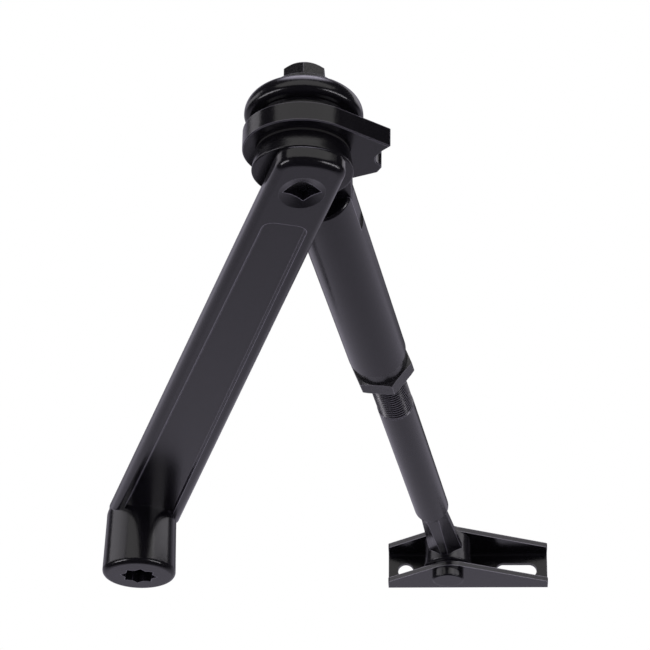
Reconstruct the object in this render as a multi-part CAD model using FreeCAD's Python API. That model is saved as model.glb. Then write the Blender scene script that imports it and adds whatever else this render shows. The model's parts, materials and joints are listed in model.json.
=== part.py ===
import FreeCAD, Part
import math
import os

# Hold-open door closer arm set: a flat forged main arm that hangs on the closer's spindle, an elbow
# clutch, a tubular forearm with a screwed-in rod, and the foot (shoe) that screws to the door frame.
# Millimetres. The row frame has its origin at the mouth of the spindle socket, +Z up towards the
# elbow nut, and +Y square into the surface that the shoe is screwed to.

Vec = FreeCAD.Vector
UP = Vec(0, 0, 1)

# --- driving dimensions: layout -------------------------------------------------------------------
ARM_LENGTH = 313.5        # spindle axis to elbow axis
ARM_YAW = -73.05          # direction from the spindle to the elbow, degrees from +X
FOREARM_LENGTH = 395.0    # elbow axis to shoe pin axis
FOREARM_YAW = 82.6        # direction from the elbow to the shoe pin, degrees from +X

# --- main arm ---------------------------------------------------------------------------------------
BOSS_DROP = 27.5          # spindle boss, below the arm's underside
BOSS_MOUTH_R = 17.0
BOSS_ROOT_R = 16.2
BOSS_EDGE_R = 2.4
BOSS_TOP_EDGE_R = 7.5
BOSS_FLARE_R = 3.0        # hollow blend from the boss into the bar's underside
BOSS_PAD_R = 12.0
BOSS_PAD_H = 2.0
BOSS_PAD_EDGE = 0.8
ARM_THICKNESS = 8.6
ARM_HALF_ELBOW = 13.1     # half width at the elbow axis
ARM_HALF_BOSS = 16.5      # half width at the spindle axis
ARM_SKEW = 1.0            # the bar's centre line passes this far to one side of the spindle axis
ARM_END_R = 21.5          # elbow end, swept about the elbow axis
ARM_CORNER_R = 8.0
ARM_UNDER_EDGE_R = 3.0
ARM_TOP_EDGE_R = 3.0
PANEL_START = 24.0        # recessed panel in the underside, from the elbow axis
PANEL_MARGIN = 5.0
PANEL_DEPTH = 1.2
PANEL_CORNER_R = 4.5
PANEL_SLOPE = 0.6          # width of the panel's sloping edge over its depth
SOCKET_SIDE = 12.0        # double square spindle socket
SOCKET_DEPTH = 21.0
SOCKET_YAW = 11.0
SCREW_HOLE_R = 4.25       # clearance for the M8 spindle screw
SQUARE_SIDE = 10.0        # square hole for the elbow stud
SQUARE_YAW = 45.0
DISH_HALF_LONG = 11.0     # dished recess round the square hole, along and across the arm
DISH_HALF_WIDE = 8.4
DISH_FLOOR_RATIO = 0.5
DISH_DEPTH = 1.5

# --- elbow stack, bottom to top ---------------------------------------------------------------------
STUD_R = 7.0
STUD_THREAD_R = 5.0       # M10
STUD_SQUARE = 9.9
STUD_RECESS = 3.5         # stud's lower end sits this far above the dish floor
STUD_NECK = 3.0           # the plain journal reaches this far into the cap
STUD_POINT = 0.8
DISC_EDGE = 0.6
DISC_THICKNESS = 7.9
DISC_BOTTOM_R = 18.8
DISC_TOP_R = 17.5
LINING_THICKNESS = 0.9
LINING_R = 17.2
EYE_THICKNESS = 8.0
EYE_R = 22.3
BUSH_R = 9.0
BUSH_GAP = 0.06
FACE_GAP = 0.05
LOOSE = 0.2               # clearance of pieces threaded loosely on the stud
WASHER_EDGE = 0.4
PLATE_THICKNESS = 4.0
PLATE_R = 17.5
CAP_R = 22.0
CAP_HEIGHT = 9.6
CAP_SHOULDER_R = 7.1
CAP_RIM_R = 2.4
CAP_CAVITY_R = 15.6
CAP_CAVITY_H = 6.4
SPRING_R = 15.0
SPRING_HOLE_R = 7.6
SPRING_SHEET = 1.7
SPRING_RISE = 1.4
COLLAR_R = 12.5
COLLAR_H = 4.2
NUT_FLATS = 15.0
NUT_TURN = 30.0           # where the nut was left when it was tightened
NUT_H = 7.9
NUT_CROWN = 1.3           # height and face radius, over the flats, of the nut's chamfer
NUT_FACE = 0.46
STUD_STAND = 0.8          # stud end above the nut

# --- forearm eye's stop nose, corners (along, across) the forearm from the elbow axis -----------------
NOSE_TIP = (1.2, -32.2)
NOSE_STEP = (4.4, -28.3)
NOSE_FOOT = (15.7, -26.6)
NOSE_HEEL = (18.6, -24.6)
NOSE_ROOT = (21.5, -14.5)
NOTCH_CENTRE = (10.0, -30.6)
NOTCH_R = 5.3
EYE_EDGE = 0.35
EYE_SHOULDER = (20.0, 15.0)   # where the eye runs into the tongue, along and across the forearm

# --- forearm --------------------------------------------------------------------------------------
TUBE_R = 12.5
TUBE_START = 15.0         # before the end is hollowed
TUBE_END = 171.0
TUBE_MOUTH_EDGE = 0.8
TUBE_COVE_R = 36.0        # tube end is hollowed about the elbow axis by this radius
TUBE_COVE_EDGE = 1.2
TONGUE_HALF = 11.7
TONGUE_END = 60.0
TUBE_THREAD_START = 112.0
TUBE_CORE_START = 66.0
TUBE_CORE_R = 9.5
NUT16_FLATS = 24.0
NUT16_HEX = 8.4
NUT16_COLLAR = 8.0
NUT16_COLLAR_R = 11.2
NUT16_TURN = 38.0         # where the nut was left when it was tightened
NUT16_CHAMFER = 0.9       # the hexagon's chamfers: towards the tube, and towards the rod
NUT16_END_CHAMFER = 0.5
THREAD_R = 8.0            # M16 x 2
THREAD_PITCH = 2.0
THREAD_DEPTH = 1.1
THREAD_GAP = 0.06
THREAD_HIDDEN = 12.0      # the rings start this far inside the tube
THREAD_ROOT = 0.24        # width of a groove's floor, and its mouth over the pitch
THREAD_MOUTH = 0.88
ROD_INNER_END = 120.0
ROD_THREAD_END = 221.5
ROD_R = 8.2
ROD_ROUND_END = 341.0
ROD_END_R = 5.0
ROD_EYE_R = 11.2           # at its upper end; the barrel widens a little downwards
ROD_EYE_FLARE = 0.5
ROD_EYE_H = 15.4
EDGE_BREAK = 0.5
NECK_START_HALF = (5.8, 6.2)   # across and up, at the round rod
NECK_END_HALF = (8.2, 5.8)     # across and up, at the eye
NECK_START_KEEL = 3.2
NECK_END_KEEL = 1.5
NECK_CHINE = 4.6          # height of the neck's slanted facets
NECK_OVERLAP = (8.0, 3.5)      # how far the neck runs into the rod and into the eye
ROD_BUSH_R = 6.4
PIN_R = 4.8

# --- shoe -----------------------------------------------------------------------------------------
SHOE_SHEET = 2.4
SHOE_HEIGHT = 20.8
SHOE_LEFT = 30.0          # pin axis to each end
SHOE_RIGHT = 50.0
SHOE_BACK = 22.8          # pin axis to the back face
FLANGE_END_DEPTH = 10.0   # flange depth at the ends, from the back face
FLANGE_PEAK_DEPTH = 33.8  # where the two sloping edges would meet, from the back face
FLANGE_NOSE_R = 10.5
FLANGE_CORNER_R = 1.5
SHOE_BEND_R = 1.6
HOLE_R = 3.9
HOLE_X = -21.3            # hole and slot centres along the shoe, from the pin axis
SLOT_X = 34.4
SLOT_R = 3.8
SLOT_LENGTH = 20.5
HOLE_DROP = 1.3           # hole and slot centres below the shoe's mid height
PIN_HEAD_R = 7.75
PIN_HEAD_H = 4.6
PIN_HEAD_EDGE = 0.8
SHIM_R = 8.5
SHIM_SHEET = 0.2
PIN_STAND = 1.6
PIN_POINT = 0.6
PIN_CAP_R = 8.6
PIN_CAP_TOP_R = 7.4
PIN_CAP_H = 1.3

# --- heights worked out from the above --------------------------------------------------------------
ARM_UNDER = BOSS_DROP
ARM_TOP = ARM_UNDER + ARM_THICKNESS
DISC_TOP = ARM_TOP + DISC_THICKNESS
EYE_UNDER = DISC_TOP + LINING_THICKNESS + 2 * FACE_GAP
EYE_MID = EYE_UNDER + EYE_THICKNESS / 2
EYE_TOP = EYE_UNDER + EYE_THICKNESS
PLATE_UNDER = EYE_TOP + LINING_THICKNESS + 2 * FACE_GAP
CAP_UNDER = PLATE_UNDER + PLATE_THICKNESS
CAP_TOP = CAP_UNDER + CAP_HEIGHT
COLLAR_TOP = CAP_TOP + COLLAR_H
NUT_TOP = COLLAR_TOP + NUT_H

ELBOW = Vec(ARM_LENGTH * math.cos(math.radians(ARM_YAW)), ARM_LENGTH * math.sin(math.radians(ARM_YAW)), 0)
PIN = ELBOW + Vec(
    FOREARM_LENGTH * math.cos(math.radians(FOREARM_YAW)),
    FOREARM_LENGTH * math.sin(math.radians(FOREARM_YAW)),
    0,
)


def cylinder(radius, low, high, centre=Vec(0, 0, 0)):
    return Part.makeCylinder(radius, high - low, Vec(centre.x, centre.y, low), UP)


def rod_along_x(radius, start, end):
    return Part.makeCylinder(radius, end - start, Vec(start, 0, 0), Vec(1, 0, 0))


def turned(profile):
    """A solid of revolution about Z from (radius, height) corners."""
    points = [Vec(radius, 0, height) for radius, height in profile]
    face = Part.Face(Part.makePolygon(points + points[:1]))
    return face.revolve(Vec(0, 0, 0), UP, 360)


def prism(points, low, high):
    """A vertical prism over (x, y) corners."""
    corners = [Vec(x, y, low) for x, y in points]
    return Part.Face(Part.makePolygon(corners + corners[:1])).extrude(Vec(0, 0, high - low))


def box(x_range, y_range, z_range):
    size = [high - low for low, high in (x_range, y_range, z_range)]
    return Part.makeBox(size[0], size[1], size[2], Vec(x_range[0], y_range[0], z_range[0]))


def square_bar(side, yaw, low, high):
    bar = box((-side / 2, side / 2), (-side / 2, side / 2), (low, high))
    bar.rotate(Vec(0, 0, 0), UP, yaw)
    return bar


def hexagon(flats, low, high, turn=0.0):
    radius = flats / math.sqrt(3)
    angles = [math.radians(60 * i + turn) for i in range(6)]
    return prism([(radius * math.cos(a), radius * math.sin(a)) for a in angles], low, high)


def edges_where(shape, test):
    return [edge for edge in shape.Edges if test(edge)]


def level_edges(shape, height, tolerance=0.01):
    """Edges that lie wholly in the plane at this height."""
    def flat(edge):
        return abs(edge.BoundBox.ZMin - height) < tolerance and abs(edge.BoundBox.ZMax - height) < tolerance
    return edges_where(shape, flat)


def on_elbow(shape):
    shape.translate(ELBOW)
    return shape


def on_forearm(shape):
    """From the forearm's frame (elbow at the origin, +X to the pin) to the row frame."""
    shape.rotate(Vec(0, 0, 0), UP, FOREARM_YAW)
    shape.translate(ELBOW)
    return shape


# --- main arm -------------------------------------------------------------------------------------
def arm_edges(distance_from_elbow, margin=0.0):
    """The bar's two long edges, or lines inside them by a margin, at this distance along it."""
    share = distance_from_elbow / ARM_LENGTH
    half_width = ARM_HALF_ELBOW + (ARM_HALF_BOSS - ARM_HALF_ELBOW) * share - margin
    return -half_width - ARM_SKEW * share, half_width - ARM_SKEW * share


def tapered(start, end, low, high, margin=0.0):
    """A prism between the bar's edges, from one distance along it to another."""
    start_low, start_high = arm_edges(start, margin)
    end_low, end_high = arm_edges(end, margin)
    return prism([(start, start_low), (end, end_low), (end, end_high), (start, start_high)], low, high)


def arm_blade():
    """The flat bar, elbow at the origin and the spindle along +X, ended by an arc about the elbow."""
    blade = tapered(-ARM_END_R - 2, ARM_LENGTH, ARM_UNDER, ARM_TOP)
    rounding = cylinder(ARM_END_R, ARM_UNDER, ARM_TOP)
    rounding = rounding.fuse(box((0, ARM_LENGTH + 1), (-ARM_END_R, ARM_END_R), (ARM_UNDER, ARM_TOP)))
    blade = blade.common(rounding).removeSplitter()
    corners = edges_where(blade, lambda e: e.BoundBox.ZLength > ARM_THICKNESS / 2 and e.CenterOfMass.x < -5)
    return blade.makeFillet(ARM_CORNER_R, corners)


def panel_recess():
    end = ARM_LENGTH - BOSS_ROOT_R + 4
    recess = tapered(PANEL_START, end, ARM_UNDER - 1, ARM_UNDER + PANEL_DEPTH, PANEL_MARGIN)
    corners = edges_where(recess, lambda e: e.BoundBox.ZLength > 1 and e.CenterOfMass.x < PANEL_START + 1)
    recess = recess.makeFillet(PANEL_CORNER_R, corners)
    return recess.makeChamfer(PANEL_DEPTH * PANEL_SLOPE, level_edges(recess, ARM_UNDER + PANEL_DEPTH))


def dish():
    """The elongated dished recess round the stud's square hole."""
    wide = Part.Wire(Part.Ellipse(Vec(0, 0, ARM_UNDER), DISH_HALF_LONG, DISH_HALF_WIDE).toShape())
    floor_centre = Vec(0, 0, ARM_UNDER + DISH_DEPTH)
    floor = Part.Ellipse(floor_centre, DISH_HALF_LONG * DISH_FLOOR_RATIO, DISH_HALF_WIDE * DISH_FLOOR_RATIO)
    return Part.makeLoft([wide, Part.Wire(floor.toShape())], True, True)


def double_square(side, yaw, low, high):
    return square_bar(side, yaw, low, high).fuse(square_bar(side, yaw + 45, low, high)).removeSplitter()


def boss():
    """The spindle boss on its own axis, with the raised pad under the screw's head."""
    body = turned([(0, 0), (BOSS_MOUTH_R, 0), (BOSS_ROOT_R, ARM_UNDER), (BOSS_ROOT_R, ARM_TOP), (0, ARM_TOP)])
    body = body.makeFillet(BOSS_EDGE_R, level_edges(body, 0))
    body = body.makeFillet(BOSS_TOP_EDGE_R, level_edges(body, ARM_TOP))
    pad = cylinder(BOSS_PAD_R, ARM_TOP - 2, ARM_TOP + BOSS_PAD_H)
    pad = pad.makeFillet(BOSS_PAD_EDGE, level_edges(pad, ARM_TOP + BOSS_PAD_H))
    return body.fuse(pad)


def boss_flare():
    """The hollow blend below the bar, in the bar's frame."""
    centre = Vec(ARM_LENGTH, 0, 0)
    low = ARM_UNDER - BOSS_FLARE_R
    ring = cylinder(BOSS_ROOT_R + BOSS_FLARE_R, low, ARM_UNDER + PANEL_DEPTH + 0.5, centre)
    hollow = Part.makeTorus(BOSS_ROOT_R + BOSS_FLARE_R, BOSS_FLARE_R, Vec(ARM_LENGTH, 0, low), UP)
    under_bar = tapered(ARM_LENGTH - 2 * BOSS_ROOT_R, ARM_LENGTH, low - 1, ARM_TOP, ARM_UNDER_EDGE_R)
    return ring.cut(hollow).common(under_bar)


def main_arm():
    arm = arm_blade()
    arm = arm.makeFillet(ARM_UNDER_EDGE_R, level_edges(arm, ARM_UNDER))
    arm = arm.makeFillet(ARM_TOP_EDGE_R, level_edges(arm, ARM_TOP))
    arm = arm.cut(panel_recess())
    arm = arm.cut(dish())
    arm = arm.cut(square_bar(SQUARE_SIDE, SQUARE_YAW - ARM_YAW - 180, ARM_UNDER, ARM_TOP + 1))
    spindle_boss = boss()
    spindle_boss.translate(Vec(ARM_LENGTH, 0, 0))
    arm = arm.fuse(boss_flare()).fuse(spindle_boss)
    arm.rotate(Vec(0, 0, 0), UP, ARM_YAW + 180)
    arm = on_elbow(arm).removeSplitter()
    arm = arm.cut(double_square(SOCKET_SIDE, SOCKET_YAW, -1, SOCKET_DEPTH))
    return arm.cut(cylinder(SCREW_HOLE_R, SOCKET_DEPTH - 1, ARM_TOP + BOSS_PAD_H + 1))


# --- elbow clutch -----------------------------------------------------------------------------------
def elbow_stud():
    low = ARM_UNDER + DISH_DEPTH + STUD_RECESS
    shank = square_bar(STUD_SQUARE, SQUARE_YAW, low, ARM_TOP)
    journal_top = CAP_UNDER + STUD_NECK
    journal = cylinder(STUD_R, ARM_TOP, journal_top)
    thread = cylinder(STUD_THREAD_R, journal_top, NUT_TOP + STUD_STAND)
    thread = thread.makeChamfer(STUD_POINT, level_edges(thread, NUT_TOP + STUD_STAND))
    return on_elbow(shank.fuse(journal).fuse(thread))


def washer(outer, inner, low, high, edge=0.0):
    ring = cylinder(outer, low, high)
    if edge:
        ring = ring.makeChamfer(edge, level_edges(ring, low) + level_edges(ring, high))
    return ring.cut(cylinder(inner, low - 1, high + 1))


def clutch_disc():
    disc = turned([(0, ARM_TOP), (DISC_BOTTOM_R, ARM_TOP), (DISC_TOP_R, DISC_TOP), (0, DISC_TOP)])
    disc = disc.makeFillet(DISC_EDGE, level_edges(disc, ARM_TOP) + level_edges(disc, DISC_TOP))
    return on_elbow(disc.cut(cylinder(STUD_R + BUSH_GAP, ARM_TOP - 1, DISC_TOP + 1)))


def lining(low):
    return on_elbow(washer(LINING_R, STUD_R + LOOSE, low, low + LINING_THICKNESS))


def pressure_plate():
    return on_elbow(washer(PLATE_R, STUD_R + LOOSE, PLATE_UNDER, CAP_UNDER, WASHER_EDGE))


def disc_spring(low, opens_up):
    """A coned spring washer; two of them face each other inside the cap."""
    inner_low, outer_low = (0.0, SPRING_RISE) if opens_up else (SPRING_RISE, 0.0)
    profile = [
        (SPRING_HOLE_R, low + inner_low),
        (SPRING_R, low + outer_low),
        (SPRING_R, low + outer_low + SPRING_SHEET),
        (SPRING_HOLE_R, low + inner_low + SPRING_SHEET),
    ]
    return on_elbow(turned(profile))


def hold_open_cap():
    cap = cylinder(CAP_R, CAP_UNDER, CAP_TOP)
    cap = cap.makeFillet(CAP_SHOULDER_R, level_edges(cap, CAP_TOP))
    cap = cap.makeFillet(CAP_RIM_R, level_edges(cap, CAP_UNDER))
    cap = cap.cut(cylinder(CAP_CAVITY_R, CAP_UNDER - 1, CAP_UNDER + CAP_CAVITY_H))
    return on_elbow(cap.cut(cylinder(STUD_THREAD_R + LOOSE, CAP_UNDER, CAP_TOP + 1)))


def cap_collar():
    return on_elbow(washer(COLLAR_R, STUD_THREAD_R + LOOSE, CAP_TOP, COLLAR_TOP, WASHER_EDGE))


def hold_open_nut():
    nut = hexagon(NUT_FLATS, COLLAR_TOP + FACE_GAP, NUT_TOP, NUT_TURN)
    corner = NUT_FLATS / math.sqrt(3)
    crown = turned([
        (0, COLLAR_TOP),
        (corner, COLLAR_TOP),
        (corner, NUT_TOP - NUT_CROWN),
        (NUT_FLATS * NUT_FACE, NUT_TOP),
        (0, NUT_TOP),
    ])
    nut = nut.common(crown)
    return on_elbow(nut.cut(cylinder(STUD_THREAD_R + BUSH_GAP, COLLAR_TOP - 1, NUT_TOP + 1)))


# --- forearm ----------------------------------------------------------------------------------------
def forearm_eye():
    """The clutch eye with its stop nose, and the tongue that is welded into the tube."""
    tip_distance = math.hypot(NOSE_TIP[0], NOSE_TIP[1])
    tangent = math.atan2(NOSE_TIP[1], NOSE_TIP[0]) - math.acos(EYE_R / tip_distance)
    nose = [
        (EYE_R * math.cos(tangent), EYE_R * math.sin(tangent)),
        NOSE_TIP,
        NOSE_STEP,
        NOSE_FOOT,
        NOSE_HEEL,
        NOSE_ROOT,
        (2 * EYE_SHOULDER[0], -TONGUE_HALF),
        (TONGUE_END, -TONGUE_HALF),
        (TONGUE_END, TONGUE_HALF),
        (EYE_SHOULDER[0], TONGUE_HALF),
        (0, EYE_SHOULDER[1]),
    ]
    eye = prism(nose, EYE_UNDER, EYE_TOP)
    eye = eye.fuse(cylinder(EYE_R, EYE_UNDER, EYE_TOP)).removeSplitter()
    eye = eye.cut(cylinder(NOTCH_R, EYE_UNDER - 1, EYE_TOP + 1, Vec(NOTCH_CENTRE[0], NOTCH_CENTRE[1], 0)))
    eye = eye.makeChamfer(EYE_EDGE, level_edges(eye, EYE_UNDER) + level_edges(eye, EYE_TOP))
    return on_forearm(eye.cut(cylinder(BUSH_R, EYE_UNDER - 1, EYE_TOP + 1)))


def eye_bush():
    return on_elbow(washer(BUSH_R, STUD_R + BUSH_GAP, EYE_UNDER + LOOSE, EYE_TOP - LOOSE))


def forearm_tube():
    tube = rod_along_x(TUBE_R, TUBE_START, TUBE_END)
    tube = tube.makeFillet(TUBE_MOUTH_EDGE, edges_where(tube, lambda e: e.BoundBox.XMin > TUBE_END - 0.1))
    tube = tube.cut(rod_along_x(TUBE_CORE_R, TUBE_CORE_START, TUBE_THREAD_START))
    tube = tube.cut(rod_along_x(THREAD_R + THREAD_GAP, TUBE_THREAD_START - 1, TUBE_END + 1))
    tube.translate(Vec(0, 0, EYE_MID))
    tube = tube.cut(cylinder(TUBE_COVE_R, 0, EYE_TOP + 40))
    tube = tube.makeFillet(TUBE_COVE_EDGE, edges_where(tube, lambda e: e.BoundBox.XMax < TUBE_COVE_R + 0.1))
    slot = box((0, TONGUE_END), (-TUBE_R - 1, TUBE_R + 1), (EYE_UNDER, EYE_TOP))
    return on_forearm(tube.cut(slot))


def jam_nut():
    start = TUBE_END + FACE_GAP
    hex_start = start + NUT16_COLLAR
    end = hex_start + NUT16_HEX
    corner = NUT16_FLATS / math.sqrt(3)
    nut = hexagon(NUT16_FLATS, hex_start, end, NUT16_TURN)
    crown = turned([
        (0, hex_start),
        (NUT16_FLATS / 2, hex_start),
        (corner, hex_start + NUT16_CHAMFER),
        (corner, end - NUT16_END_CHAMFER),
        (corner - 2 * NUT16_END_CHAMFER, end),
        (0, end),
    ])
    collar = cylinder(NUT16_COLLAR_R, start, hex_start)
    collar = collar.makeChamfer(EDGE_BREAK, level_edges(collar, start))
    nut = nut.common(crown).fuse(collar).removeSplitter()
    nut = nut.cut(cylinder(THREAD_R + THREAD_GAP, start - 1, end + 1))
    nut.rotate(Vec(0, 0, 0), Vec(0, 1, 0), 90)
    nut.translate(Vec(0, 0, EYE_MID))
    return on_forearm(nut)


def threaded_bar(start, end):
    """A bar with the ridges of a coarse thread, turned as rings."""
    bar = rod_along_x(THREAD_R, start, end)
    groove_start = TUBE_END - THREAD_HIDDEN
    count = int((end - groove_start) / THREAD_PITCH)
    floor_r = THREAD_R - THREAD_DEPTH
    mouth_r = THREAD_R + THREAD_DEPTH
    floor_half = THREAD_ROOT / 2
    mouth_half = THREAD_PITCH * THREAD_MOUTH - floor_half
    for i in range(count):
        centre = groove_start + THREAD_PITCH * (i + 0.5)
        ring = turned([
            (mouth_r, centre - mouth_half),
            (floor_r, centre - floor_half),
            (floor_r, centre + floor_half),
            (mouth_r, centre + mouth_half),
        ])
        ring.rotate(Vec(0, 0, 0), Vec(0, 1, 0), 90)
        bar = bar.cut(ring)
    return bar


def section(x, half_width, half_height, keel_half, chine):
    """An eight-sided section across the rod; chine is how far up the slanted lower facets reach."""
    points = [
        (-half_width, -half_height + chine),
        (-keel_half, -half_height),
        (keel_half, -half_height),
        (half_width, -half_height + chine),
        (half_width, half_height - chine),
        (keel_half, half_height),
        (-keel_half, half_height),
        (-half_width, half_height - chine),
    ]
    corners = [Vec(x, y, z) for y, z in points]
    return Part.makePolygon(corners + corners[:1])


def rod_neck():
    """The forged neck between the round rod and the flat eye."""
    start_x = ROD_ROUND_END - NECK_OVERLAP[0]
    end_x = FOREARM_LENGTH - ROD_EYE_R + NECK_OVERLAP[1]
    start = section(start_x, NECK_START_HALF[0], NECK_START_HALF[1], NECK_START_KEEL, NECK_CHINE)
    end = section(end_x, NECK_END_HALF[0], NECK_END_HALF[1], NECK_END_KEEL, NECK_CHINE)
    return Part.makeLoft([start, end], True, True)


def adjusting_rod():
    rod = rod_along_x(ROD_R, ROD_THREAD_END, ROD_ROUND_END)
    rod = rod.makeFillet(ROD_END_R, edges_where(rod, lambda e: e.BoundBox.XMin > ROD_ROUND_END - 0.1))
    rod = rod.makeChamfer(EDGE_BREAK, edges_where(rod, lambda e: e.BoundBox.XMax < ROD_THREAD_END + 0.1))
    rod = rod.fuse(threaded_bar(ROD_INNER_END, ROD_THREAD_END))
    rod = rod.fuse(rod_neck())
    half = ROD_EYE_H / 2
    eye = turned([(0, -half), (ROD_EYE_R + ROD_EYE_FLARE, -half), (ROD_EYE_R, half), (0, half)])
    eye = eye.makeFillet(2 * EDGE_BREAK, level_edges(eye, -half) + level_edges(eye, half))
    eye.translate(Vec(FOREARM_LENGTH, 0, 0))
    rod = rod.fuse(eye)
    rod = rod.cut(cylinder(ROD_BUSH_R, -ROD_EYE_H, ROD_EYE_H, Vec(FOREARM_LENGTH, 0, 0)))
    rod.translate(Vec(0, 0, EYE_MID))
    return on_forearm(rod)


def at_pin(shape):
    shape.translate(PIN + Vec(0, 0, EYE_MID))
    return shape


def rod_bush():
    half = ROD_EYE_H / 2 - 2 * FACE_GAP
    return at_pin(washer(ROD_BUSH_R, PIN_R + BUSH_GAP, -half, half))


# --- shoe -------------------------------------------------------------------------------------------
def flange_block():
    """The shoe's outer block: flanges seen from above taper to the ends and round off about the pin."""
    half = SHOE_HEIGHT / 2
    end_y = SHOE_BACK - FLANGE_END_DEPTH
    outline = [
        (-SHOE_LEFT, SHOE_BACK),
        (-SHOE_LEFT, end_y),
        (0, SHOE_BACK - FLANGE_PEAK_DEPTH),
        (SHOE_RIGHT, end_y),
        (SHOE_RIGHT, SHOE_BACK),
    ]
    block = prism(outline, -half, half)
    def upright_at(x, y):
        return edges_where(
            block,
            lambda e: e.BoundBox.ZLength > 1 and abs(e.CenterOfMass.x - x) < 0.1
            and abs(e.CenterOfMass.y - y) < 0.1,
        )
    nose = upright_at(0, SHOE_BACK - FLANGE_PEAK_DEPTH)
    block = block.makeFillet(FLANGE_NOSE_R, nose)
    corners = upright_at(-SHOE_LEFT, end_y) + upright_at(SHOE_RIGHT, end_y)
    block = block.makeFillet(FLANGE_CORNER_R, corners)
    back = edges_where(block, lambda e: e.BoundBox.YMin > SHOE_BACK - 0.01 and e.BoundBox.XLength > 10)
    return block.makeFillet(SHOE_BEND_R + SHOE_SHEET * 0.5, back)


def shoe_bracket():
    half = SHOE_HEIGHT / 2
    inner = half - SHOE_SHEET
    inside_y = SHOE_BACK - SHOE_SHEET
    hollow = box((-SHOE_LEFT - 1, SHOE_RIGHT + 1), (-SHOE_BACK - 20, inside_y), (-inner, inner))
    creases = edges_where(hollow, lambda e: e.BoundBox.YMin > inside_y - 0.01 and e.BoundBox.XLength > 10)
    body = flange_block().cut(hollow.makeFillet(SHOE_BEND_R, creases))
    body = body.cut(screw_hole(HOLE_X, HOLE_R, 2 * HOLE_R))
    body = body.cut(screw_hole(SLOT_X, SLOT_R, SLOT_LENGTH))
    body = body.cut(cylinder(PIN_R + FACE_GAP, -half - 1, half + 1))
    return at_pin(body)


def screw_hole(x, radius, length):
    """A round hole or a slot of this end-to-end length through the base plate."""
    reach = max(length / 2 - radius, 0.0)
    y_low = SHOE_BACK - SHOE_SHEET - 1
    depth = SHOE_SHEET + 2
    z = -HOLE_DROP
    tool = Part.makeCylinder(radius, depth, Vec(x - reach, y_low, z), Vec(0, 1, 0))
    if reach:
        tool = tool.fuse(Part.makeCylinder(radius, depth, Vec(x + reach, y_low, z), Vec(0, 1, 0)))
        middle = box((x - reach, x + reach), (y_low, y_low + depth), (z - radius, z + radius))
        tool = tool.fuse(middle).removeSplitter()
    return tool


def pivot_pin():
    half = SHOE_HEIGHT / 2
    shank = cylinder(PIN_R, -half, half + PIN_STAND)
    shank = shank.makeChamfer(PIN_POINT, level_edges(shank, half + PIN_STAND))
    head = cylinder(PIN_HEAD_R, -half - PIN_HEAD_H, -half)
    head = head.makeFillet(PIN_HEAD_EDGE, level_edges(head, -half - PIN_HEAD_H))
    return at_pin(shank.fuse(head))


def pin_shim(low):
    return at_pin(washer(SHIM_R, PIN_R + 2 * FACE_GAP, low, low + SHIM_SHEET))


def pin_cap():
    """The pressed ring that keeps the pin's upper end."""
    half = SHOE_HEIGHT / 2
    ring = turned([
        (PIN_R, half),
        (PIN_CAP_R, half),
        (PIN_CAP_TOP_R, half + PIN_CAP_H),
        (PIN_R, half + PIN_CAP_H),
    ])
    return at_pin(ring)


NODES = {
    "main_arm": main_arm(),
    "elbow_stud": elbow_stud(),
    "clutch_disc": clutch_disc(),
    "lower_lining": lining(DISC_TOP),
    "forearm_eye": forearm_eye(),
    "eye_bush": eye_bush(),
    "upper_lining": lining(EYE_TOP + 2 * FACE_GAP),
    "pressure_plate": pressure_plate(),
    "lower_disc_spring": disc_spring(CAP_UNDER, True),
    "upper_disc_spring": disc_spring(CAP_UNDER + SPRING_RISE + SPRING_SHEET, False),
    "hold_open_cap": hold_open_cap(),
    "cap_collar": cap_collar(),
    "hold_open_nut": hold_open_nut(),
    "forearm_tube": forearm_tube(),
    "jam_nut": jam_nut(),
    "adjusting_rod": adjusting_rod(),
    "rod_bush": rod_bush(),
    "lower_shim": pin_shim(-SHOE_HEIGHT / 2 + SHOE_SHEET),
    "upper_shim": pin_shim(SHOE_HEIGHT / 2 - SHOE_SHEET - SHIM_SHEET),
    "shoe_bracket": shoe_bracket(),
    "pivot_pin": pivot_pin(),
    "pin_cap": pin_cap(),
}

os.makedirs("parts", exist_ok=True)
for name, shape in NODES.items():
    solids = shape.Solids
    print(name, "solids", len(solids), "valid", shape.isValid(), "volume", round(shape.Volume, 1))
    Part.makeCompound(solids).exportStep("parts/" + name + ".step")
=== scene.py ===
import json
import math

import bpy
from mathutils import Matrix, Vector

# Looks for the hold-open door closer arm. Metres, in the CAD model's own frame: the origin is at the
# mouth of the spindle socket, +Z is up towards the elbow nut and +Y is into the door frame.

MM = 0.001

# --- camera -----------------------------------------------------------------------------------------
CAMERA_PLACE = Vector((145.5, -1113.3, -450.1)) * MM
CAMERA_YAW = math.radians(3.161)       # turned to the left of +Y
CAMERA_PITCH = math.radians(27.479)    # looking up from below the arm
CAMERA_ROLL = math.radians(1.0)
CAMERA_LENS = 144.13
CAMERA_REACH = 100.0
SENSOR = 36.0

# --- floor ------------------------------------------------------------------------------------------
FLOOR_Z = -1.3
FLOOR_HALF = 25.0
FLOOR_COLOUR = (0.80, 0.78, 0.84, 1.0)
FLOOR_SHADE = 0.97        # how much darker the floor's faint clouds are

# --- what the object reflects, by direction -----------------------------------------------------------
SKY_FRONT = 0.05          # the dark room behind the camera
SKY_BACK = 0.54           # the dimmer reflection of the white backdrop
SKY_TOP = 3.6             # the overhead diffuser
SKY_SIDE = 0.08           # what is left of the backdrop high up behind the object
BACK_BLEND = (0.45, 0.65)      # towards +Y, where the dark room gives way to the backdrop
LOW_BLEND = (0.30, 0.44)       # upwards, where the backdrop ends
SIDE_BLEND = (0.78, 0.86)      # towards +Y, where its upper part ends
TOP_BLEND = (0.91, 0.97)       # upwards, where the diffuser begins
SKY_COLOUR = (0.92, 0.87, 1.04, 1.0)

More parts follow.
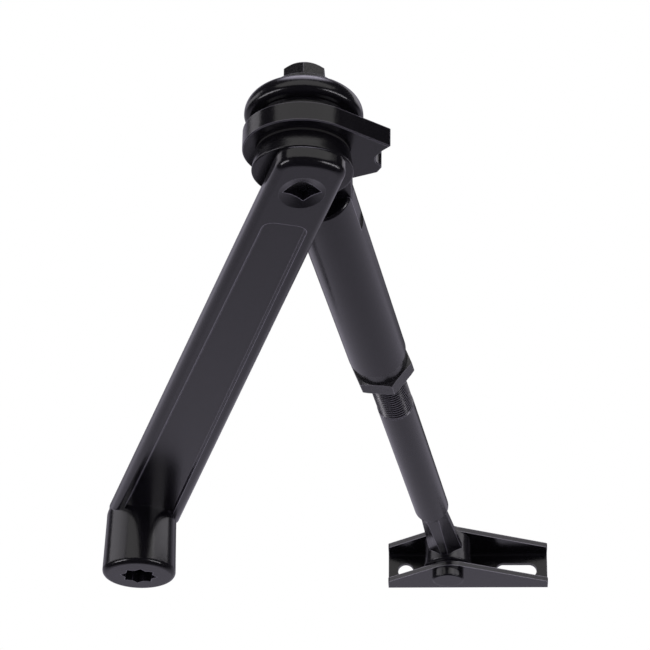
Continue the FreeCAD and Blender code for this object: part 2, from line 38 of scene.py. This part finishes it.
# --- softboxes: place, what they aim at, size, watts per square metre, tint and spread in degrees --------
SOCKET = (0.0, 0.0, 0.02)
ELBOW = (0.09, -0.3, 0.03)
WARM = (1.0, 0.98, 0.97)
COOL = (0.97, 0.94, 1.0)
SOFTBOXES = {
    "front_card": ((0.17, -1.05, 0.60), (0.1, -0.3, 0.05), (2.0, 0.75), 4.6, WARM, 180.0),
    "left_card": ((-0.35, -0.12, 0.20), SOCKET, (0.46, 0.24), 3.0, COOL, 120.0),
    "right_card": ((0.26, -0.07, 0.20), SOCKET, (0.34, 0.24), 3.6, COOL, 120.0),
    "left_low": ((-1.15, -0.85, -0.62), ELBOW, (1.24, 0.30), 30.0, COOL, 180.0),
    "right_low": ((1.33, -0.85, -0.62), ELBOW, (1.24, 0.30), 30.0, COOL, 180.0),
}

# --- painted highlight along the rims -----------------------------------------------------------------
RIM_HIGHLIGHT_REACH = 0.015        # a rim with another face nearer than this gets no painted highlight
RIM_HIGHLIGHT_OPEN = (0.55, 0.85)       # how open a rim is, from none of the painted highlight to all of it
RIM_HIGHLIGHT_TURN = (0.995, 0.94)      # cosine of the turn of the surface, from face to rim
RIM_HIGHLIGHT_SAMPLES = 8

# The middle range of a noise, which is the part that shows.
NOISE_LOW = 0.3
NOISE_HIGH = 0.7

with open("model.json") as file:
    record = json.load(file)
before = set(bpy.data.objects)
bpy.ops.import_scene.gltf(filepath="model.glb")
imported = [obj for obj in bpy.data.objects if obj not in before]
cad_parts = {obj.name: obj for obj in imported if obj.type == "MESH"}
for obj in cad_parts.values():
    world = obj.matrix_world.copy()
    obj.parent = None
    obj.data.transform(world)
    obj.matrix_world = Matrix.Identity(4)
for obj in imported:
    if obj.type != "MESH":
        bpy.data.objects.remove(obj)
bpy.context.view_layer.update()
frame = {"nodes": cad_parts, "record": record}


# --- node helpers -------------------------------------------------------------------------------------
def new_material(name):
    material = bpy.data.materials.new(name)
    material.use_nodes = True
    return material, material.node_tree, material.node_tree.nodes["Principled BSDF"]


def add_noise(tree, scale, detail, roughness=0.5):
    coordinates = tree.nodes.new("ShaderNodeTexCoord")
    noise = tree.nodes.new("ShaderNodeTexNoise")
    noise.inputs["Scale"].default_value = scale
    noise.inputs["Detail"].default_value = detail
    noise.inputs["Roughness"].default_value = roughness
    tree.links.new(coordinates.outputs["Object"], noise.inputs["Vector"])
    return noise.outputs["Fac"]


def add_ramp(tree, value, low, high, out_low, out_high):
    """A number that goes from out_low to out_high while value goes from low to high."""
    node = tree.nodes.new("ShaderNodeMapRange")
    node.inputs["From Min"].default_value = low
    node.inputs["From Max"].default_value = high
    node.inputs["To Min"].default_value = out_low
    node.inputs["To Max"].default_value = out_high
    tree.links.new(value, node.inputs["Value"])
    return node.outputs["Result"]


def add_math(tree, operation, first, second):
    node = tree.nodes.new("ShaderNodeMath")
    node.operation = operation
    tree.links.new(first, node.inputs[0])
    tree.links.new(second, node.inputs[1])
    return node.outputs["Value"]


def add_colour_mix(tree, factor, colour_a, colour_b):
    """A mix of two colours; colour_a may be another node's output instead."""
    node = tree.nodes.new("ShaderNodeMix")
    node.data_type = "RGBA"
    socket_a, socket_b = [s for s in node.inputs if s.type == "RGBA"]
    if isinstance(colour_a, tuple):
        socket_a.default_value = colour_a
    else:
        tree.links.new(colour_a, socket_a)
    socket_b.default_value = colour_b
    tree.links.new(factor, node.inputs["Factor"])
    return next(s for s in node.outputs if s.type == "RGBA")


def add_painted_highlight_mask(tree, radius):
    """1 along the open rims of a piece, where a lighter colour paints the highlight of a rounded edge, and 0
    on its faces.
    """
    rounded = tree.nodes.new("ShaderNodeBevel")
    rounded.samples = RIM_HIGHLIGHT_SAMPLES
    rounded.inputs["Radius"].default_value = radius
    geometry = tree.nodes.new("ShaderNodeNewGeometry")
    closeness = tree.nodes.new("ShaderNodeVectorMath")
    closeness.operation = "DOT_PRODUCT"
    tree.links.new(rounded.outputs["Normal"], closeness.inputs[0])
    tree.links.new(geometry.outputs["Normal"], closeness.inputs[1])
    edge = add_ramp(tree, closeness.outputs["Value"], *RIM_HIGHLIGHT_TURN, 0.0, 1.0)
    openness = tree.nodes.new("ShaderNodeAmbientOcclusion")
    openness.samples = RIM_HIGHLIGHT_SAMPLES
    openness.inputs["Distance"].default_value = RIM_HIGHLIGHT_REACH
    return add_math(tree, "MULTIPLY", edge, add_ramp(tree, openness.outputs["AO"], *RIM_HIGHLIGHT_OPEN, 0.0, 1.0))


def add_bump(tree, height, distance, strength, normal=None):
    node = tree.nodes.new("ShaderNodeBump")
    node.inputs["Distance"].default_value = distance
    node.inputs["Strength"].default_value = strength
    tree.links.new(height, node.inputs["Height"])
    if normal:
        tree.links.new(normal, node.inputs["Normal"])
    return node.outputs["Normal"]


def set_colour(tree, shader, colour):
    tree.links.new(colour, shader.inputs["Base Color"])


def set_roughness(tree, shader, grain, low, high):
    """Roughness that follows the grain from low to high."""
    tree.links.new(add_ramp(tree, grain, NOISE_LOW, NOISE_HIGH, low, high), shader.inputs["Roughness"])


# --- materials ----------------------------------------------------------------------------------------
def black_paint():
    """Smooth black enamel: fine grain in the gloss, a slight orange peel and a painted highlight along the
    open rims.
    """
    material, tree, shader = new_material("black_paint")
    tone = add_noise(tree, 60.0, 2.0)
    grain = add_noise(tree, 1500.0, 2.0, 0.6)
    peel = add_noise(tree, 420.0, 2.0)
    colour = add_colour_mix(tree, tone, (0.0028, 0.0026, 0.0034, 1.0), (0.0045, 0.0042, 0.0054, 1.0))
    # Lighter colour along the open rims: a painted highlight of the edges.
    colour = add_colour_mix(tree, add_painted_highlight_mask(tree, 0.8 * MM), colour, (0.095, 0.092, 0.104, 1.0))
    set_colour(tree, shader, colour)
    set_roughness(tree, shader, grain, 0.15, 0.25)
    normal = add_bump(tree, peel, 0.04 * MM, 0.6)
    normal = add_bump(tree, grain, 0.02 * MM, 1.0, normal)
    tree.links.new(normal, shader.inputs["Normal"])
    shader.inputs["IOR"].default_value = 1.38
    return material


def black_steel():
    """Blackened machined steel: satin, with fine tool marks and a painted highlight along the open rims."""
    material, tree, shader = new_material("black_steel")
    grain = add_noise(tree, 1500.0, 3.0)
    colour = add_colour_mix(tree, grain, (0.004, 0.004, 0.0045, 1.0), (0.010, 0.0095, 0.011, 1.0))
    # Lighter colour along the open rims: a painted highlight of the edges.
    colour = add_colour_mix(tree, add_painted_highlight_mask(tree, 0.6 * MM), colour, (0.11, 0.107, 0.115, 1.0))
    set_colour(tree, shader, colour)
    set_roughness(tree, shader, grain, 0.2, 0.36)
    tree.links.new(add_bump(tree, grain, 0.01 * MM, 0.7), shader.inputs["Normal"])
    shader.inputs["IOR"].default_value = 1.45
    return material


def friction_lining():
    """Dark matt fibre."""
    material, tree, shader = new_material("friction_lining")
    fibres = add_noise(tree, 1200.0, 4.0, 0.7)
    colour = add_colour_mix(tree, fibres, (0.006, 0.006, 0.006, 1.0), (0.014, 0.013, 0.012, 1.0))
    set_colour(tree, shader, colour)
    set_roughness(tree, shader, fibres, 0.7, 0.9)
    tree.links.new(add_bump(tree, fibres, 0.05 * MM, 0.6), shader.inputs["Normal"])
    return material


def bare_metal(name, dark, light, rough_low, rough_high):
    material, tree, shader = new_material(name)
    grain = add_noise(tree, 900.0, 3.0)
    set_colour(tree, shader, add_colour_mix(tree, grain, dark, light))
    set_roughness(tree, shader, grain, rough_low, rough_high)
    tree.links.new(add_bump(tree, grain, 0.01 * MM, 0.5), shader.inputs["Normal"])
    shader.inputs["Metallic"].default_value = 1.0
    return material


def floor_material():
    material, tree, shader = new_material("floor")
    cloud = add_noise(tree, 2.0, 2.0)
    shade = tuple(FLOOR_SHADE * channel for channel in FLOOR_COLOUR[:3]) + (1.0,)
    set_colour(tree, shader, add_colour_mix(tree, cloud, FLOOR_COLOUR, shade))
    shader.inputs["Roughness"].default_value = 0.9
    shader.inputs["Specular IOR Level"].default_value = 0.1
    return material


MATERIALS = {
    "black_paint": black_paint(),
    "black_steel": black_steel(),
    "friction_lining": friction_lining(),
    "bronze_bush": bare_metal("bronze_bush", (0.42, 0.27, 0.12, 1), (0.60, 0.42, 0.20, 1), 0.28, 0.42),
    "spring_steel": bare_metal("spring_steel", (0.22, 0.22, 0.24, 1), (0.38, 0.38, 0.40, 1), 0.25, 0.4),
}


def paint_nodes():
    slots = {item["node"]: item["material_slot"] for item in frame["record"]["subparts"]}
    for name, thing in frame["nodes"].items():
        thing.data.materials.clear()
        thing.data.materials.append(MATERIALS[slots[name]])


# --- studio -------------------------------------------------------------------------------------------
def add_floor():
    """A wide plain floor. Its own mirror image is left out: the world gives what the object reflects."""
    mesh = bpy.data.meshes.new("floor")
    half = FLOOR_HALF
    corners = [(-half, -half, FLOOR_Z), (half, -half, FLOOR_Z), (half, half, FLOOR_Z), (-half, half, FLOOR_Z)]
    mesh.from_pydata(corners, [], [(0, 1, 2, 3)])
    floor = bpy.data.objects.new("floor", mesh)
    bpy.context.scene.collection.objects.link(floor)
    mesh.materials.append(floor_material())
    floor.visible_glossy = False


def add_softbox(name, place, aim, size, watts_per_m2, tint, spread):
    light = bpy.data.lights.new(name, "AREA")
    light.shape = "RECTANGLE"
    light.size, light.size_y = size
    light.energy = watts_per_m2 * size[0] * size[1]
    light.color = tint
    light.spread = math.radians(spread)
    lamp = bpy.data.objects.new(name, light)
    lamp.location = place
    lamp.rotation_euler = (Vector(aim) - Vector(place)).to_track_quat("-Z", "Y").to_euler()
    lamp.visible_camera = False
    bpy.context.scene.collection.objects.link(lamp)


def add_world():
    """White where the camera looks past the object; for everything else a dark front, a grey backdrop
    and a bright overhead diffuser."""
    world = bpy.data.worlds.new("studio")
    bpy.context.scene.world = world
    world.use_nodes = True
    tree = world.node_tree
    backdrop = tree.nodes["Background"]
    backdrop.inputs["Color"].default_value = (1.0, 1.0, 1.0, 1.0)
    direction = tree.nodes.new("ShaderNodeTexCoord")
    axes = tree.nodes.new("ShaderNodeSeparateXYZ")
    tree.links.new(direction.outputs["Generated"], axes.inputs["Vector"])
    back = add_ramp(tree, axes.outputs["Y"], *BACK_BLEND, SKY_FRONT, SKY_BACK)
    low = add_ramp(tree, axes.outputs["Z"], *LOW_BLEND, 1.0, 0.0)
    side = add_ramp(tree, axes.outputs["Y"], *SIDE_BLEND, 1.0, SKY_SIDE)
    top = add_ramp(tree, axes.outputs["Z"], *TOP_BLEND, 0.0, SKY_TOP)
    screen = add_math(tree, "MULTIPLY", back, add_math(tree, "MAXIMUM", low, side))
    ambient = tree.nodes.new("ShaderNodeBackground")
    ambient.inputs["Color"].default_value = SKY_COLOUR
    tree.links.new(add_math(tree, "ADD", screen, top), ambient.inputs["Strength"])
    path = tree.nodes.new("ShaderNodeLightPath")
    mix = tree.nodes.new("ShaderNodeMixShader")
    tree.links.new(path.outputs["Is Camera Ray"], mix.inputs["Fac"])
    tree.links.new(ambient.outputs["Background"], mix.inputs[1])
    tree.links.new(backdrop.outputs["Background"], mix.inputs[2])
    tree.links.new(mix.outputs["Shader"], tree.nodes["World Output"].inputs["Surface"])


def add_camera():
    data = bpy.data.cameras.new("camera")
    data.lens = CAMERA_LENS
    data.sensor_width = SENSOR
    data.clip_end = CAMERA_REACH
    camera = bpy.data.objects.new("camera", data)
    right = Vector((math.cos(CAMERA_YAW), math.sin(CAMERA_YAW), 0.0))
    ahead = Vector((-math.sin(CAMERA_YAW), math.cos(CAMERA_YAW), 0.0))
    forward = ahead * math.cos(CAMERA_PITCH) + Vector((0.0, 0.0, math.sin(CAMERA_PITCH)))
    up = Vector((0.0, 0.0, math.cos(CAMERA_PITCH))) - ahead * math.sin(CAMERA_PITCH)
    rolled_right = right * math.cos(CAMERA_ROLL) + up * math.sin(CAMERA_ROLL)
    rolled_up = up * math.cos(CAMERA_ROLL) - right * math.sin(CAMERA_ROLL)
    turn = Matrix((rolled_right, rolled_up, -forward)).transposed()
    camera.matrix_world = Matrix.Translation(CAMERA_PLACE) @ turn.to_4x4()
    bpy.context.scene.collection.objects.link(camera)
    bpy.context.scene.camera = camera


def add_studio():
    add_world()
    add_floor()
    for name, settings in SOFTBOXES.items():
        add_softbox(name, *settings)
    bpy.context.scene.view_settings.view_transform = "Standard"


paint_nodes()
add_studio()
add_camera()
